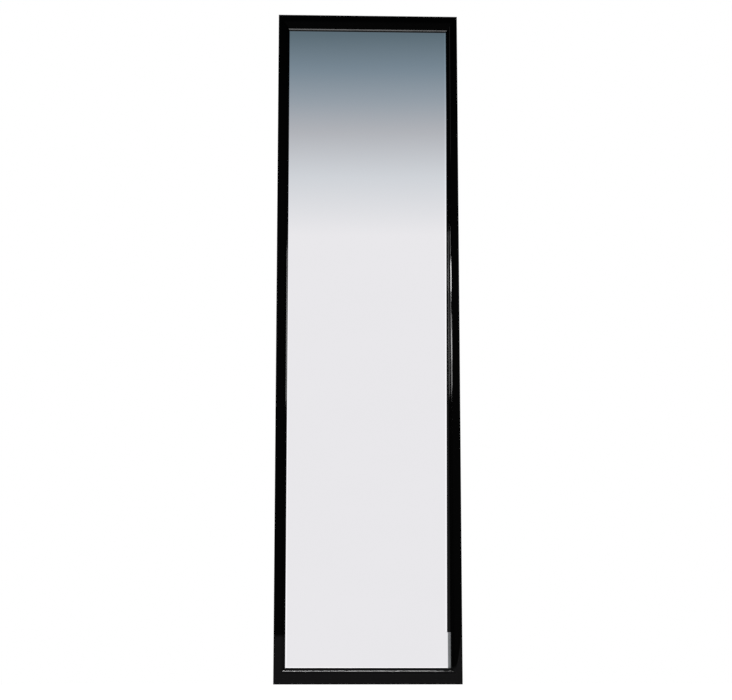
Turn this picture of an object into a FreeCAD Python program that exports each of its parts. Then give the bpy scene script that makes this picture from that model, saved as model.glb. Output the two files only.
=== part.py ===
import FreeCAD, Part
import math
import os
from FreeCAD import Vector

# Pull-out closet mirror.
# A framed mirror hangs on a steel carriage that rolls out of a closet on two ball-bearing slides.
# Out in the open, the mirror turns a quarter turn about two friction pivots at its leading edge.
#
# +X is the way the mirror pulls out, +Y points into the closet's side panel, +Z is up.
# y = 0 is the face of that panel; x = 0 and z = 0 are the middle of its four screw holes.
# All lengths are in millimetres, all angles in degrees.

# ---------------------------------------------------------------- framed mirror
frame_width = 330.2
frame_height = 1219.2
frame_depth = 22.0
stile_width = 20.0
rail_width = 28.0

edge_round = 1.6           # round of the frame's outer front edge
edge_drop = 0.35           # how far that edge lies below the crown of the face
crown_share = 0.41         # where the crown is, as a share of the member's width
slope_start_share = 0.64   # where the face turns down towards the glass
slope_start_drop = 0.3
slope_end_share = 0.88     # foot of the slope, beside the lip
slope_end_drop = 4.4
slope_bulge = 0.113        # height of the slope's arc, as a share of its chord
lip_step = 0.9             # small step from the slope down to the lip
lip_round = 0.5

glass_sink = 8.0           # from the crown of the face back to the glass
glass_thickness = 4.0
glass_rebate = 6.0         # how far the glass runs under the lip
glass_play = 1.0           # room around the glass in its rebate
bevel_show = 3.5           # how much of the glass's bevel shows inside the frame
bevel_drop = 1.0           # how much thinner the glass is at its edge
film_thickness = 0.4
board_thickness = 3.0
board_rebate = 11.0        # how far the backing board runs under the frame
board_play = 0.5
board_recess = 0.2         # the board lies this far inside the back of the frame
block_length = 25.0        # setting blocks that the glass stands on
block_spacing = 140.0

brace_arm = 45.0
brace_width = 7.0
brace_thickness = 1.5
brace_margin = 1.2
brace_screw_shares = (0.45, 0.85)   # where its screws sit along each arm

# ---------------------------------------------------------------- slides
slide_length = 300.0
slide_height = 45.6
slide_depth = 12.7
slide_spacing = 704.0      # upper to lower slide
slide_setback = 15.1       # from the frame's leading edge to the slides' front ends
member_wall = 1.2
ball_radius = 1.5875
ball_play = 0.15           # between a ball and its raceways
ball_count = 8             # in each row
bend_radius = 0.8          # centre line of the tight bends of the inner and middle members
web_bend_radius = 1.2
crest_bend_radius = 1.0
lip_length = 0.8
retainer_wall = 0.6
retainer_width = 4.4
retainer_end = 7.0         # from a retainer's end to its first ball
retainer_hole_play = 0.1
retainer_shy = 2.5         # room left between a retainer and the end of its travel
stop_length = 4.7
stop_gap = 0.3
stop_half_height = 10.0
stop_boss_radius = 1.6
stop_edge_round = 1.0

panel_hole_spacing = 224.0
panel_hole_radius = 2.3
panel_sink_radius = 3.4
panel_hole_depth = 0.5     # straight part of the countersunk hole
access_hole_radius = 5.5   # in the middle member, for a screwdriver
slot_length = 9.0
slot_spacing = 150.0

# ---------------------------------------------------------------- carriage
post_wall = 1.5
post_width = 40.0
post_depth = 7.5
post_bend_radius = 2.0
post_overhang = 38.0       # from a slide's middle to the end of the posts
pivot_clearance = 10.0     # from the front post to the pivot's axis
rear_post_reach = 20.0     # how far the rear post sticks out behind the slides
rivet_radius = 2.0
rivet_head_radius = 4.0
rivet_crown_radius = 2.4
rivet_head_height = 1.5
rivet_tail_radius = 3.2
rivet_tail_height = 1.0
rivet_spacing = 16.0

bumper_radius = 5.0
bumper_tip_radius = 4.0
bumper_base = 2.0
bumper_stem_radius = 2.0
bumper_barb_radius = 2.8
bumper_barb_tip_radius = 1.2
bumper_barb_height = 1.6
bumper_inset = 9.0         # from the rear post's outer side
bumper_drop = 90.0         # from a slide's middle towards the middle of the mirror
rest_gap = 0.3             # between a bumper and the frame

# ---------------------------------------------------------------- pivots
frame_standoff = 11.8      # from the slides' front face to the back of the frame
pivot_inset = 13.0         # from the frame's leading edge to the pivot's axis
pivot_setback = 10.0       # from the back of the frame to the pivot's axis
arm_thickness = 3.0
arm_radius = 7.0
ear_thickness = 3.0
ear_radius = 7.5
spine_thickness = 2.0
spine_width = 18.0
spine_margin = 1.1
spine_screw_inset = 4.5
spine_screw_count = 6
spine_screw_end = 26.0

bolt_radius = 3.0
bolt_head_flats = 10.0
bolt_head_height = 4.0
bolt_end = 1.5             # thread that shows above the nut
bolt_hole_play = 0.1
bush_wall = 0.94
bush_play = 0.06
bush_flange_radius = 6.5
bush_flange_height = 1.0
pivot_gap = 0.05           # running gap above and below the ear
washer_radius = 6.0
washer_thickness = 0.8
spring_thickness = 0.6
spring_height = 1.1
spring_inset = 0.2         # how much smaller a disc spring is than the washer under it
nut_height = 6.0
nut_corner = 0.7
bolt_head_corner = 0.1
stop_pin_radius = 1.5
stop_pin_shift = 3.0
stop_pin_gap = 0.3
stop_pin_boss = 3.5

# ---------------------------------------------------------------- screws
spine_screw = dict(head=3.2, shank=1.75, length=14.0, height=2.0)
board_screw = dict(head=2.4, shank=1.4, length=10.0, height=1.5)
brace_screw = dict(head=2.2, shank=1.2, length=9.0, height=1.2)
board_screw_margin = 3.0   # from the edge of the board's rebate
stile_screw_count = 8      # along each stile
rail_screw_count = 1       # between the corners, along each rail
screw_tip = 2.5
screw_crown_share = 0.45   # round of a raised head, as a share of its height

cut_past = 1.0             # how far a cutter runs beyond the faces it cuts
hexagon_slack = 0.01       # keeps the turning cutter off the edges of a hexagon

# ---------------------------------------------------------------- worked out from the above
half_width = frame_width / 2
half_height = frame_height / 2
frame_back_y = -(slide_depth + frame_standoff)
glass_front_v = frame_depth - glass_sink
glass_back_v = glass_front_v - glass_thickness
film_back_v = glass_back_v - film_thickness
board_front_v = board_recess + board_thickness

pivot_x = half_width - pivot_inset
pivot_y = frame_back_y + pivot_setback

slide_front_x = half_width - slide_setback
slide_rear_x = slide_front_x - slide_length
member_rear_x = slide_rear_x + stop_length + stop_gap
slide_levels = (slide_spacing / 2, -slide_spacing / 2)
travel = slide_length

race_radius = ball_radius + ball_play + member_wall / 2
race_step = race_radius * math.sqrt(0.5)
inner_web_y = -(slide_depth - member_wall / 2)
bend_reach = bend_radius * (1 + math.sqrt(0.5))
outer_ball_y = inner_web_y + bend_reach + 3 * race_step
outer_ball_z = slide_height / 2 - member_wall / 2 - race_radius
inner_ball_y = outer_ball_y - 2 * race_step
inner_ball_z = outer_ball_z - 2 * race_step

post_front_x = pivot_x - pivot_clearance
post_half_height = slide_spacing / 2 + post_overhang
post_face_y = -slide_depth
rear_post_x = member_rear_x - rear_post_reach


# ---------------------------------------------------------------- helpers
def save(name, solids):
    """Write one sub-part, a single solid or a group of them, to its own STEP file."""
    shape = solids if isinstance(solids, Part.Shape) else Part.makeCompound(solids)
    shape.exportStep("parts/" + name + ".step")


def box(x0, x1, y0, y1, z0, z1):
    return Part.makeBox(x1 - x0, y1 - y0, z1 - z0, Vector(x0, y0, z0))


def rod(radius, start, end):
    """A round bar from one point to another."""
    along = end.sub(start)
    return Part.makeCylinder(radius, along.Length, start, along)


def taper(radius_a, radius_b, start, end):
    along = end.sub(start)
    return Part.makeCone(radius_a, radius_b, along.Length, start, along)


def moved(shape, x=0.0, y=0.0, z=0.0):
    result = shape.copy()
    result.translate(Vector(x, y, z))
    return result


def face_from(edges):
    return Part.Face(Part.Wire(Part.__sortEdges__(edges)))


def outline_solid(points, direction):
    """Extrude the closed polygon through some points."""
    return Part.Face(Part.makePolygon(points + points[:1])).extrude(direction)


def strip_face(place, start, heading, wall, moves):
    """The section of bent sheet metal, from its centre line.

    Each move is (length,) for a straight run or (radius, angle) for a bend, where a positive
    angle bends to the left. place turns flat coordinates into a point in space.
    """
    edges = []
    a, b = start
    for move in moves:
        along = (math.cos(math.radians(heading)), math.sin(math.radians(heading)))
        left = (-along[1], along[0])
        sides = []
        if len(move) == 1:
            step = (a + along[0] * move[0], b + along[1] * move[0])
            for offset in (wall / 2, -wall / 2):
                ends = [place(p[0] + left[0] * offset, p[1] + left[1] * offset) for p in ((a, b), step)]
                edges.append(Part.makeLine(*ends))
                sides.append(ends)
            a, b = step
        else:
            radius, angle = move
            turn = 1 if angle > 0 else -1
            centre = (a + left[0] * radius * turn, b + left[1] * radius * turn)
            from_centre = math.degrees(math.atan2(b - centre[1], a - centre[0]))
            for offset in (wall / 2, -wall / 2):
                reach = radius - offset * turn
                swept = [math.radians(from_centre + angle * share) for share in (0, 0.5, 1)]
                pts = [place(centre[0] + reach * math.cos(t), centre[1] + reach * math.sin(t)) for t in swept]
                edges.append(Part.Arc(*pts).toShape())
                sides.append((pts[0], pts[2]))
            last = math.radians(from_centre + angle)
            a = centre[0] + radius * math.cos(last)
            b = centre[1] + radius * math.sin(last)
            heading += angle
        if len(edges) == 2:
            edges.append(Part.makeLine(sides[0][0], sides[1][0]))
    edges.append(Part.makeLine(sides[0][1], sides[1][1]))
    return face_from(edges)


def tapered_bar(disc_a, disc_b, z0, height):
    """A flat bar with round ends: two discs (x, y, radius) and their common tangents."""
    (xa, ya, ra), (xb, yb, rb) = disc_a, disc_b
    base = math.atan2(yb - ya, xb - xa)
    lean = math.acos((ra - rb) / math.hypot(xb - xa, yb - ya))
    corners = []
    for (x, y, r), sign in ((disc_a, 1), (disc_b, 1), (disc_b, -1), (disc_a, -1)):
        t = base + sign * lean
        corners.append(Vector(x + r * math.cos(t), y + r * math.sin(t), z0))
    up = Vector(0, 0, height)
    ends = [Part.makeCylinder(r, height, Vector(x, y, z0)) for x, y, r in (disc_a, disc_b)]
    return outline_solid(corners, up).multiFuse(ends).removeSplitter()


def hexagon(flats, x, y, z0, height, corner):
    """A hexagonal bolt head or nut on a vertical axis, with its upper corners turned off."""
    radius = flats / math.sqrt(3)
    points = []
    for i in range(6):
        t = math.radians(60 * i)
        points.append(Vector(x + radius * math.cos(t), y + radius * math.sin(t), z0))
    body = outline_solid(points, Vector(0, 0, height))
    straight = Part.makeCylinder(radius + hexagon_slack, height - corner, Vector(x, y, z0))
    cap = Part.makeCone(radius + hexagon_slack, flats / 2, corner, Vector(x, y, z0 + height - corner))
    return body.common(straight.fuse(cap))


def spread(first, last, count):
    """Evenly spaced positions, or the middle for a single one."""
    if count == 1:
        return [(first + last) / 2]
    return [first + (last - first) * i / (count - 1) for i in range(count)]


def flush_screw(x, y, z, size):
    """A countersunk screw driven towards the mirror's face from a surface at y."""
    shank_end = y - size["length"] + screw_tip
    head = taper(size["head"], size["shank"], Vector(x, y, z), Vector(x, y - size["height"], z))
    shank = rod(size["shank"], Vector(x, y - size["height"], z), Vector(x, shank_end, z))
    tip = taper(size["shank"], 0, Vector(x, shank_end, z), Vector(x, shank_end - screw_tip, z))
    return head.multiFuse([shank, tip]).removeSplitter()


def pan_screw(x, y, z, size):
    """A screw with a raised head on a surface at y, driven towards the mirror's face."""
    shank_end = y - size["length"] + screw_tip
    head = rod(size["head"], Vector(x, y, z), Vector(x, y + size["height"], z))
    top = [e for e in head.Edges if abs(e.BoundBox.YMin - (y + size["height"])) < 1e-6]
    head = head.makeFillet(size["height"] * screw_crown_share, [e for e in top if e.Closed])
    shank = rod(size["shank"], Vector(x, y, z), Vector(x, shank_end, z))
    tip = taper(size["shank"], 0, Vector(x, shank_end, z), Vector(x, shank_end - screw_tip, z))
    return head.multiFuse([shank, tip]).removeSplitter()


# ---------------------------------------------------------------- frame
def member_section(width, place):
    """Section of a frame member: u runs from its outer side to the glass, v from its back to its face."""
    round_u = edge_round * width / stile_width
    side_top = frame_depth - edge_drop - edge_round
    quarter = 1 - math.sqrt(0.5)
    slope_start = (slope_start_share * width, frame_depth - slope_start_drop)
    slope_end = (slope_end_share * width, frame_depth - slope_end_drop)
    run, fall = slope_end[0] - slope_start[0], slope_end_drop - slope_start_drop
    slope_mid = (
        (slope_start[0] + slope_end[0]) / 2 + slope_bulge * fall * width / stile_width,
        (slope_start[1] + slope_end[1]) / 2 + slope_bulge * run * stile_width / width,
    )
    lip_top = slope_end[1] - lip_step
    crown = place(crown_share * width, frame_depth)
    corner = place(round_u, side_top + edge_round)
    edges = [
        Part.makeLine(place(0, 0), place(0, side_top)),
        Part.Arc(
            place(0, side_top),
            place(round_u * quarter, side_top + edge_round * (1 - quarter)),
            corner,
        ).toShape(),
        Part.Arc(corner, crown, place(*slope_start)).toShape(),
        Part.Arc(place(*slope_start), place(*slope_mid), place(*slope_end)).toShape(),
        Part.makeLine(place(*slope_end), place(slope_end[0], lip_top)),
        Part.makeLine(place(slope_end[0], lip_top), place(width - lip_round, lip_top)),
        Part.Arc(
            place(width - lip_round, lip_top),
            place(width - lip_round * quarter, lip_top - lip_round * quarter),
            place(width, lip_top - lip_round),
        ).toShape(),
        Part.makeLine(place(width, lip_top - lip_round), place(width, 0)),
        Part.makeLine(place(width, 0), place(0, 0)),
    ]
    return face_from(edges)


def mitred(member, side, upright):
    """Cut a member to the slab between its outer edge and the sight edge, with mitred ends."""
    outer = [(half_width, half_height), (half_width, -half_height)]
    inner = [(half_width - stile_width, half_height - rail_width)]
    inner.append((inner[0][0], -inner[0][1]))
    if not upright:
        outer = [(half_width, half_height), (-half_width, half_height)]
        inner[1] = (-inner[0][0], inner[0][1])
    ring = [outer[0], outer[1], inner[1], inner[0]]
    sx, sz = (side, 1) if upright else (1, side)
    points = [Vector(x * sx, frame_back_y, z * sz) for x, z in ring]
    return member.common(outline_solid(points, Vector(0, -frame_depth, 0)))


def rebates():
    """The pockets in the back of the frame that take the glass and the backing board."""
    sight_x, sight_z = half_width - stile_width, half_height - rail_width
    cuts = []
    for reach, depth in ((glass_rebate, glass_front_v), (board_rebate, board_front_v)):
        x, z = sight_x + reach, sight_z + reach
        cuts.append(box(-x, x, frame_back_y - depth, frame_back_y + cut_past, -z, z))
    return cuts


def brace_plate(side_x, side_z):
    """An L-shaped brace let into the back of the frame at one corner."""
    x0, z0 = half_width - brace_margin, half_height - brace_margin
    x1, z1 = x0 - brace_width, z0 - brace_width
    x2, z2 = x0 - brace_arm, z0 - brace_arm
    ring = [(x0, z0), (x2, z0), (x2, z1), (x1, z1), (x1, z2), (x0, z2)]
    points = [Vector(x * side_x, frame_back_y, z * side_z) for x, z in ring]
    return outline_solid(points, Vector(0, -brace_thickness, 0))


def brace_screws(side_x, side_z):
    middle = brace_margin + brace_width / 2
    places = []
    for along in brace_screw_shares:
        places.append((half_width - middle, half_height - brace_margin - brace_arm * along))
        places.append((half_width - brace_margin - brace_arm * along, half_height - middle))
    return [flush_screw(x * side_x, frame_back_y, z * side_z, brace_screw) for x, z in places]


def board_screws():
    x = half_width - stile_width + board_rebate - board_screw_margin
    z = half_height - rail_width + board_rebate - board_screw_margin
    y = frame_back_y - board_recess
    screws = []
    for side in (1, -1):
        for level in spread(-z, z, stile_screw_count):
            screws.append(flush_screw(side * x, y, level, board_screw))
        for across in spread(-x, x, rail_screw_count + 2)[1:-1]:
            screws.append(flush_screw(across, y, side * z, board_screw))
    return screws


def build_frame(spine_screws):
    corners = [(sx, sz) for sx in (1, -1) for sz in (1, -1)]
    braces = [brace_plate(*corner) for corner in corners]
    fasteners = [screw for corner in corners for screw in brace_screws(*corner)]
    boards = board_screws()
    cuts = rebates() + braces + fasteners + boards + spine_screws
    names = {("upright", 1): "frame_leading_stile", ("upright", -1): "frame_trailing_stile",
             ("level", 1): "frame_top_rail", ("level", -1): "frame_bottom_rail"}
    for (way, side), name in names.items():
        if way == "upright":
            def place(u, v, s=side):
                return Vector(s * (half_width - u), frame_back_y - v, -half_height)
            bar = member_section(stile_width, place).extrude(Vector(0, 0, frame_height))
        else:
            def place(u, v, s=side):
                return Vector(-half_width, frame_back_y - v, s * (half_height - u))
            bar = member_section(rail_width, place).extrude(Vector(frame_width, 0, 0))
        save(name, mitred(bar, side, way == "upright").cut(cuts))
    save("corner_braces", [brace.cut(fasteners) for brace in braces])
    save("corner_brace_screws", fasteners)
    save("backing_screws", boards)
    return boards


def pane(margin, v0, v1):
    """A sheet that fills the opening in the frame and runs under it by a margin."""
    x = half_width - stile_width + margin
    z = half_height - rail_width + margin
    return box(-x, x, frame_back_y - v1, frame_back_y - v0, -z, z)


def bevelled_glass(margin):
    """The mirror's glass, with a bevel ground all round its front."""
    x = half_width - stile_width + margin
    z = half_height - rail_width + margin
    land = bevel_show + margin
    front = frame_back_y - glass_front_v
    ring = (x - land, z - land, x, z)
    bevel = Part.makeWedge(-ring[0], front, -ring[1], -ring[3], -ring[2],
                           ring[0], front + bevel_drop, ring[1], ring[3], ring[2])
    return pane(margin, glass_back_v, glass_front_v - bevel_drop).fuse(bevel).removeSplitter()


def build_panes(boards):
    glass_margin = glass_rebate - glass_play
    save("mirror_glass", bevelled_glass(glass_margin))
    save("safety_film", pane(glass_margin, film_back_v, glass_back_v))
    save("foam_sheet", pane(glass_margin, board_front_v, film_back_v))
    board = pane(board_rebate - board_play, board_recess, board_front_v)
    save("backing_board", board.cut(boards))
    floor = -(half_height - rail_width + glass_rebate)
    blocks = []
    for x in (block_spacing / 2, -block_spacing / 2):
        half = block_length / 2
        y0, y1 = frame_back_y - glass_front_v + bevel_drop, frame_back_y - glass_back_v
        blocks.append(box(x - half, x + half, y0, y1, floor, floor + glass_play))
    save("setting_blocks", blocks)


# ---------------------------------------------------------------- slides
def member(start_y, moves, x0, x1):
    """A slide member: half of its section, from the middle of the web to one lip, and its mirror image."""
    half = strip_face(lambda y, z: Vector(x0, y, z), (start_y, 0), 90, member_wall, moves)
    upper = half.extrude(Vector(x1 - x0, 0, 0))
    return upper.fuse(upper.mirror(Vector(0, 0, 0), Vector(0, 0, 1))).removeSplitter()


def outer_member():
    flange_z = outer_ball_z + race_step - crest_bend_radius * (1 - math.sqrt(0.5))
    flange_end = outer_ball_y + race_step + crest_bend_radius * math.sqrt(0.5)
    web_y = -member_wall / 2
    moves = [
        (flange_z - web_bend_radius,),
        (web_bend_radius, 90),
        (web_y - web_bend_radius - flange_end,),
        (crest_bend_radius, -45),
        (race_radius, 90),
        (lip_length,),
    ]
    body = member(web_y, moves, slide_rear_x, slide_front_x)
    below = -(member_wall + cut_past)
    cuts = []
    for x in (panel_hole_spacing / 2, -panel_hole_spacing / 2):
        cuts.append(rod(panel_hole_radius, Vector(x, cut_past, 0), Vector(x, -member_wall, 0)))
        sink_top, sink_foot = Vector(x, -member_wall, 0), Vector(x, -panel_hole_depth, 0)
        cuts.append(taper(panel_hole_radius, panel_sink_radius, sink_foot, sink_top))
    for x in (slot_spacing / 2, -slot_spacing / 2):
        reach = (slot_length - 2 * panel_hole_radius) / 2
        ends = [rod(panel_hole_radius, Vector(x, cut_past, z), Vector(x, below, z)) for z in (reach, -reach)]
        cuts += ends + [box(x - panel_hole_radius, x + panel_hole_radius, below, cut_past, -reach, reach)]
    boss = stop_boss_place()
    cuts.append(rod(stop_boss_radius, Vector(boss, cut_past, 0), Vector(boss, below, 0)))
    return body.cut(cuts)


def middle_member():
    web_y = outer_ball_y + race_step + bend_reach
    bend_z = outer_ball_z - race_step - bend_radius * math.sqrt(0.5)
    moves = [
        (bend_z,),
        (bend_radius, 135),
        (race_radius, -90),
        (race_radius, 90),
        (lip_length,),
    ]
    body = member(web_y, moves, member_rear_x, slide_front_x)
    x = panel_hole_spacing / 2 - travel / 2
    return body.cut(rod(access_hole_radius, Vector(x, 0, 0), Vector(x, -slide_depth / 2, 0)))


def inner_member(rivets):
    bend_z = inner_ball_z - race_step - bend_radius * math.sqrt(0.5)
    moves = [
        (bend_z,),
        (bend_radius, -135),
        (race_radius, 90),
        (lip_length,),
    ]
    return member(inner_web_y, moves, member_rear_x, slide_front_x).cut(rivets)


def stop_boss_place():
    return slide_rear_x + stop_length / 2


def rear_stop():
    """The nylon buffer in the rear end of an outer member."""
    y0, y1 = -(slide_depth - member_wall), -member_wall
    block = box(slide_rear_x, slide_rear_x + stop_length, y0, y1, -stop_half_height, stop_half_height)
    front = [e for e in block.Edges if abs(e.BoundBox.YMax - y0) < 1e-6]
    block = block.makeFillet(stop_edge_round, front)
    x = stop_boss_place()
    boss = rod(stop_boss_radius, Vector(x, y1, 0), Vector(x, -board_recess, 0))
    return block.fuse(boss)


def retainer_span():
    """Where a ball retainer starts and ends, so that it never runs out of either member."""
    return member_rear_x + travel / 4 + retainer_shy, slide_front_x - travel / 4 - retainer_shy


def ball_places(y, z):
    start, end = retainer_span()
    rows = []
    for x in spread(start + retainer_end, end - retainer_end, ball_count):
        rows += [Vector(x, y, z), Vector(x, y, -z)]
    return rows


def retainer_strips(y, z):
    start, end = retainer_span()
    strips = []
    for side in (1, -1):
        z0, z1 = side * z - retainer_wall / 2, side * z + retainer_wall / 2
        strip = box(start, end, y - retainer_width / 2, y + retainer_width / 2, z0, z1)
        holes = []
        for p in ball_places(y, z):
            if p.z * side > 0:
                low, high = Vector(p.x, p.y, z0 - cut_past), Vector(p.x, p.y, z1 + cut_past)
                holes.append(rod(ball_radius + retainer_hole_play, low, high))
        strips.append(strip.cut(holes))
    return strips


def build_slides(rivets):
    outer, middle, stop = outer_member(), middle_member(), rear_stop()
    for name, level in zip(("upper", "lower"), slide_levels):
        save(name + "_outer_member", moved(outer, z=level))
        save(name + "_middle_member", moved(middle, z=level))
        local = [moved(rivet, z=-level) for rivet in rivets]
        save(name + "_inner_member", moved(inner_member(local), z=level))
        save(name + "_rear_stop", moved(stop, z=level))
        for ring, y, z in (("outer", outer_ball_y, outer_ball_z), ("inner", inner_ball_y, inner_ball_z)):
            balls = [Part.makeSphere(ball_radius, p) for p in ball_places(y, z)]
            strips = retainer_strips(y, z)
            save(name + "_" + ring + "_balls", [moved(ball, z=level) for ball in balls])
            save(name + "_" + ring + "_retainer", [moved(strip, z=level) for strip in strips])


# ---------------------------------------------------------------- carriage
def post(x0):
    """A C-channel that lies on the faces of both inner members, open towards the mirror."""
    tip_y = post_face_y - post_depth
    side = post_depth - post_wall / 2 - post_bend_radius
    across = post_width - post_wall - 2 * post_bend_radius
    moves = [(side,), (post_bend_radius, -90), (across,), (post_bend_radius, -90), (side,)]
    start = (x0 + post_wall / 2, tip_y)
    face = strip_face(lambda x, y: Vector(x, y, -post_half_height), start, 90, post_wall, moves)
    return face.extrude(Vector(0, 0, 2 * post_half_height))


def post_rivets():
    """Two rivets hold each post to each inner member."""
    rivets = []
    head_y = post_face_y - post_wall
    tail_y = post_face_y + member_wall
    for x in (post_front_x - post_width / 2, rear_post_x + (rear_post_reach + post_width) / 2):
        for level in slide_levels:
            for z in (level + rivet_spacing / 2, level - rivet_spacing / 2):
                head = taper(rivet_crown_radius, rivet_head_radius,
                             Vector(x, head_y - rivet_head_height, z), Vector(x, head_y, z))
                shank = rod(rivet_radius, Vector(x, head_y, z), Vector(x, tail_y, z))
                tail = rod(rivet_tail_radius, Vector(x, tail_y, z), Vector(x, tail_y + rivet_tail_height, z))
                rivets.append(head.multiFuse([shank, tail]).removeSplitter())
    return rivets


def rest_bumper(level):
    """A rubber button, snapped into the rear post, that the stowed mirror rests against."""
    x = rear_post_x + bumper_inset
    base_y = post_face_y - post_wall

    def at(y):
        return Vector(x, y, level)

    base = rod(bumper_radius, at(base_y), at(base_y - bumper_base))
    body = taper(bumper_radius, bumper_tip_radius, at(base_y - bumper_base), at(frame_back_y + rest_gap))
    stem = rod(bumper_stem_radius, at(base_y), at(post_face_y))
    barb_end = at(post_face_y + bumper_barb_height)
    barb = taper(bumper_barb_radius, bumper_barb_tip_radius, at(post_face_y), barb_end)
    return base.multiFuse([body, stem, barb]).removeSplitter()


def stop_pin_place():
    """Beside the ear when the mirror has turned a quarter turn."""
    return pivot_x + stop_pin_shift, pivot_y + ear_radius + stop_pin_gap + stop_pin_radius


def pivot_arm(z0):
    """The plate welded across the end of the front post, which carries a pivot bolt and a stop pin."""
    x, y = stop_pin_place()
    post_middle = post_face_y - post_depth / 2
    root_radius = post_depth / 2
    root = (post_front_x - root_radius, post_middle, root_radius)
    bars = [
        tapered_bar(root, (pivot_x, pivot_y, arm_radius), z0, arm_thickness),
        tapered_bar((pivot_x, pivot_y, arm_radius), (x, y, stop_pin_boss), z0, arm_thickness),
    ]
    seat_x, seat_y = post_front_x - post_width, post_face_y - post_depth
    seat = box(seat_x, post_front_x, seat_y, post_face_y, z0, z0 + arm_thickness)
    plate = seat.multiFuse(bars).removeSplitter()
    low, high = z0 - cut_past, z0 + arm_thickness + cut_past
    holes = [
        rod(bolt_radius + bolt_hole_play, Vector(pivot_x, pivot_y, low), Vector(pivot_x, pivot_y, high)),
        rod(stop_pin_radius, Vector(x, y, low), Vector(x, y, high)),
    ]
    return plate.cut(holes)


def pivot_levels():
    """Top faces of the two pivot arms: the upper one lies on the post, the lower one under it."""
    return post_half_height + arm_thickness, -post_half_height


def disc_spring(z0, cup_up):
    """One conical spring washer, revolved from its slanted section."""
    inside, outside = bolt_radius + bolt_hole_play, washer_radius - spring_inset
    rise = spring_height - spring_thickness
    low_in, low_out = (0, rise) if cup_up else (rise, 0)
    high_in, high_out = low_in + spring_thickness, low_out + spring_thickness
    ring = [(inside, low_in), (outside, low_out), (outside, high_out), (inside, high_in)]
    points = [Vector(pivot_x + r, pivot_y, z0 + h) for r, h in ring]
    section = Part.Face(Part.makePolygon(points + points[:1]))
    return section.revolve(Vector(pivot_x, pivot_y, 0), Vector(0, 0, 1), 360)


def build_pivots():
    bolts, washers, springs, nuts, pins, bushes = [], [], [], [], [], []
    bore = bolt_radius + bush_play
    for arm_top in pivot_levels():
        def at(z):
            return Vector(pivot_x, pivot_y, z)

        flange_z = arm_top + pivot_gap
        ear_z = flange_z + bush_flange_height
        washer_z = ear_z + ear_thickness + pivot_gap
        spring_z = washer_z + washer_thickness
        nut_z = spring_z + 2 * spring_height
        bolt_top = nut_z + nut_height + bolt_end
        arm_base = arm_top - arm_thickness

        head_z = arm_base - bolt_head_height
        head = hexagon(bolt_head_flats, pivot_x, pivot_y, head_z, bolt_head_height, bolt_head_corner)
        bolts.append(head.fuse(rod(bolt_radius, at(arm_base), at(bolt_top))).removeSplitter())
        flange = rod(bush_flange_radius, at(flange_z), at(ear_z))
        sleeve = rod(bore + bush_wall, at(ear_z), at(ear_z + ear_thickness))
        bush_bore = rod(bore, at(flange_z - cut_past), at(washer_z + cut_past))
        bushes.append(flange.fuse(sleeve).cut(bush_bore).removeSplitter())
        ring = rod(washer_radius, at(washer_z), at(spring_z))
        eye = rod(bolt_radius + bolt_hole_play, at(washer_z - cut_past), at(spring_z + cut_past))
        washers.append(ring.cut(eye))
        springs.append(disc_spring(spring_z, False))
        springs.append(disc_spring(spring_z + spring_height, True))
        nut = hexagon(bolt_head_flats, pivot_x, pivot_y, nut_z, nut_height, nut_corner)
        nuts.append(nut.cut(rod(bolt_radius, at(nut_z - cut_past), at(bolt_top))))
        x, y = stop_pin_place()
        pins.append(rod(stop_pin_radius, Vector(x, y, arm_base), Vector(x, y, ear_z + ear_thickness)))
    for name, solids in (("pivot_bolts", bolts), ("pivot_washers", washers), ("disc_springs", springs),
                         ("pivot_nuts", nuts), ("stop_pins", pins), ("pivot_bushes", bushes)):
        save(name, solids)


def spine_levels():
    """Bottom of the lower ear and top of the upper one."""
    above_arm = pivot_gap + bush_flange_height
    upper, lower = pivot_levels()
    return lower + above_arm, upper + above_arm + ear_thickness


def spine_screw_set():
    z0, z1 = spine_levels()
    x = half_width - spine_screw_inset
    y = frame_back_y + spine_thickness
    levels = spread(z0 + spine_screw_end, z1 - spine_screw_end, spine_screw_count)
    return [pan_screw(x, y, z, spine_screw) for z in levels]


def hinge_spine(screws):
    """The steel strip on the back of the leading stile, with an ear at each end."""
    z0, z1 = spine_levels()
    x1 = half_width - spine_margin
    strip = box(x1 - spine_width, x1, frame_back_y, frame_back_y + spine_thickness, z0, z1)
    ears = []
    for ear_z in (z0, z1 - ear_thickness):
        top = ear_z + ear_thickness
        tongue = box(pivot_x - ear_radius, pivot_x + ear_radius, frame_back_y, pivot_y, ear_z, top)
        disc = Part.makeCylinder(ear_radius, ear_thickness, Vector(pivot_x, pivot_y, ear_z))
        ears.append(tongue.fuse(disc))
    body = strip.multiFuse(ears).removeSplitter()
    bush_radius = bolt_radius + bush_play + bush_wall
    bores = []
    for ear_z in (z0, z1 - ear_thickness):
        low, high = ear_z - cut_past, ear_z + ear_thickness + cut_past
        bores.append(rod(bush_radius, Vector(pivot_x, pivot_y, low), Vector(pivot_x, pivot_y, high)))
    return body.cut(bores + screws)


def build_carriage(rivets):
    stems = [rest_bumper(level) for level in (slide_levels[0] - bumper_drop, slide_levels[1] + bumper_drop)]
    save("front_post", post(post_front_x - post_width).cut(rivets))
    save("rear_post", post(rear_post_x).cut(rivets + stems))
    save("post_rivets", rivets)
    save("rest_bumpers", stems)
    upper, lower = pivot_levels()
    save("upper_pivot_arm", pivot_arm(upper - arm_thickness))
    save("lower_pivot_arm", pivot_arm(lower - arm_thickness))


os.makedirs("parts", exist_ok=True)
spine_fixings = spine_screw_set()
rivet_set = post_rivets()
board_fixings = build_frame(spine_fixings)
build_panes(board_fixings)
save("hinge_spine", hinge_spine(spine_fixings))
save("spine_screws", spine_fixings)
build_slides(rivet_set)
build_carriage(rivet_set)
build_pivots()
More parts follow.
